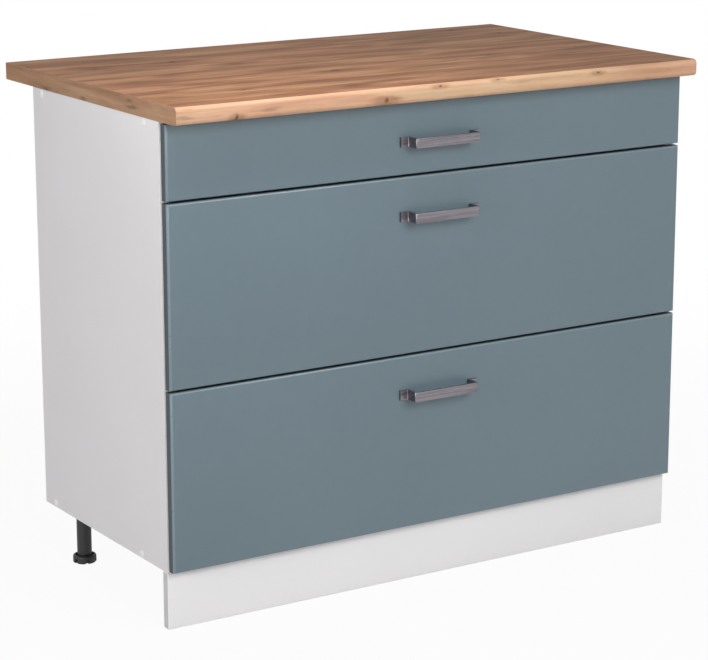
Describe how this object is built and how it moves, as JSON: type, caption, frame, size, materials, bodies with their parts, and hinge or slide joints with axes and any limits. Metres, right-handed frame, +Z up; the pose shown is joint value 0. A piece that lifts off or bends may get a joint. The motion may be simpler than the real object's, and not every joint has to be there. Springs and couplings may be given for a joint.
{
  "type": "kitchen base cabinet with drawers",
  "caption": "Low kitchen base cabinet: white carcass on a plinth, wide grey drawer fronts with flat steel handles, and an oak-look worktop.",
  "frame": {"origin": "on the floor, below the middle of the worktop", "axes": "+X to the right along the fronts, -Y towards the person who opens the drawers, +Z up"},
  "size_m": [1, 0.6, 0.84],
  "materials": {
    "white_melamine": "matt white melamine foil on chipboard",
    "white_fibreboard": "white coated hardboard",
    "oak_laminate": "matt oak-look laminate on chipboard",
    "oak_edge_band": "matt oak-look edge band",
    "grey_front": "satin blue-grey foil",
    "brushed_steel": "fine brushed",
    "black_plastic": "moulded matt",
    "white_coated_steel": "white epoxy coat",
    "white_nylon": "smooth",
    "zinc_steel": "zinc plated"
  },
  "bodies": {
    "carcass": {"side_panel_left": "white_melamine", "side_panel_right": "white_melamine", "bottom_panel": "white_melamine", "top_rail_front": "white_melamine", "top_rail_rear": "white_melamine", "back_panel": "white_fibreboard", "carcass_screws": "zinc_steel", "worktop": "oak_laminate", "worktop_end_bands": "oak_edge_band", "plinth_board": "white_melamine", "plinth_clips": "black_plastic", "leg_sockets": "black_plastic", "leg_tubes": "black_plastic", "runner_left_bottom": "white_coated_steel", "runner_right_bottom": "white_coated_steel", "runner_left_middle": "white_coated_steel", "runner_right_middle": "white_coated_steel", "runner_left_top": "white_coated_steel", "runner_right_top": "white_coated_steel"},
    "drawer_bottom": {"drawer_side_left_bottom": "white_coated_steel", "drawer_side_right_bottom": "white_coated_steel", "drawer_bottom_bottom": "white_melamine", "drawer_back_bottom": "white_melamine", "front_bottom": "grey_front", "handle_bottom": "brushed_steel", "handle_screws_bottom": "zinc_steel", "front_brackets_bottom": "white_coated_steel"},
    "front_rollers_bottom": {"front_rollers_bottom": "white_nylon"},
    "rear_rollers_bottom": {"rear_rollers_bottom": "white_nylon"},
    "drawer_middle": {"drawer_side_left_middle": "white_coated_steel", "drawer_side_right_middle": "white_coated_steel", "drawer_bottom_middle": "white_melamine", "drawer_back_middle": "white_melamine", "front_middle": "grey_front", "handle_middle": "brushed_steel", "handle_screws_middle": "zinc_steel", "front_brackets_middle": "white_coated_steel"},
    "front_rollers_middle": {"front_rollers_middle": "white_nylon"},
    "rear_rollers_middle": {"rear_rollers_middle": "white_nylon"},
    "drawer_top": {"drawer_side_left_top": "white_coated_steel", "drawer_side_right_top": "white_coated_steel", "drawer_bottom_top": "white_melamine", "drawer_back_top": "white_melamine", "front_top": "grey_front", "handle_top": "brushed_steel", "handle_screws_top": "zinc_steel", "front_brackets_top": "white_coated_steel"},
    "front_rollers_top": {"front_rollers_top": "white_nylon"},
    "rear_rollers_top": {"rear_rollers_top": "white_nylon"},
    "foot_front_left": {"foot_front_left": "black_plastic"},
    "foot_front_right": {"foot_front_right": "black_plastic"},
    "foot_rear_left": {"foot_rear_left": "black_plastic"},
    "foot_rear_right": {"foot_rear_right": "black_plastic"}
  },
  "joints": [
    {"name": "drawer_slide_bottom", "type": "slide", "parent": "carcass", "child": "drawer_bottom", "axis": [0, -1, 0], "range_m": [0, 0.3]},
    {"name": "drawer_slide_middle", "type": "slide", "parent": "carcass", "child": "drawer_middle", "axis": [0, -1, 0], "range_m": [0, 0.3]},
    {"name": "drawer_slide_top", "type": "slide", "parent": "carcass", "child": "drawer_top", "axis": [0, -1, 0], "range_m": [0, 0.3]},
    {"name": "front_roller_spin_bottom", "type": "hinge", "parent": "carcass", "child": "front_rollers_bottom", "pos_m": [0, -0.226, 0.1261], "axis": [1, 0, 0], "range_deg": [0, 1650]},
    {"name": "rear_roller_spin_bottom", "type": "hinge", "parent": "drawer_bottom", "child": "rear_rollers_bottom", "pos_m": [0, 0.1415, 0.128], "axis": [1, 0, 0], "range_deg": [0, 1650]},
    {"name": "front_roller_spin_middle", "type": "hinge", "parent": "carcass", "child": "front_rollers_middle", "pos_m": [0, -0.226, 0.4226], "axis": [1, 0, 0], "range_deg": [0, 1650]},
    {"name": "rear_roller_spin_middle", "type": "hinge", "parent": "drawer_middle", "child": "rear_rollers_middle", "pos_m": [0, 0.1415, 0.4245], "axis": [1, 0, 0], "range_deg": [0, 1650]},
    {"name": "front_roller_spin_top", "type": "hinge", "parent": "carcass", "child": "front_rollers_top", "pos_m": [0, -0.226, 0.7191], "axis": [1, 0, 0], "range_deg": [0, 1650]},
    {"name": "rear_roller_spin_top", "type": "hinge", "parent": "drawer_top", "child": "rear_rollers_top", "pos_m": [0, 0.1415, 0.721], "axis": [1, 0, 0], "range_deg": [0, 1650]},
    {"name": "foot_front_left_height", "type": "slide", "parent": "carcass", "child": "foot_front_left", "axis": [0, 0, -1], "range_m": [0, 0.02]},
    {"name": "foot_front_right_height", "type": "slide", "parent": "carcass", "child": "foot_front_right", "axis": [0, 0, -1], "range_m": [0, 0.02]},
    {"name": "foot_rear_left_height", "type": "slide", "parent": "carcass", "child": "foot_rear_left", "axis": [0, 0, -1], "range_m": [0, 0.02]},
    {"name": "foot_rear_right_height", "type": "slide", "parent": "carcass", "child": "foot_rear_right", "axis": [0, 0, -1], "range_m": [0, 0.02]}
  ],
  "couplings": [
    {"joint": "front_roller_spin_bottom", "follows": "drawer_slide_bottom", "rad_per_m": 95.238},
    {"joint": "rear_roller_spin_bottom", "follows": "drawer_slide_bottom", "rad_per_m": 95.238},
    {"joint": "front_roller_spin_middle", "follows": "drawer_slide_middle", "rad_per_m": 95.238},
    {"joint": "rear_roller_spin_middle", "follows": "drawer_slide_middle", "rad_per_m": 95.238},
    {"joint": "front_roller_spin_top", "follows": "drawer_slide_top", "rad_per_m": 95.238},
    {"joint": "rear_roller_spin_top", "follows": "drawer_slide_top", "rad_per_m": 95.238}
  ]
}
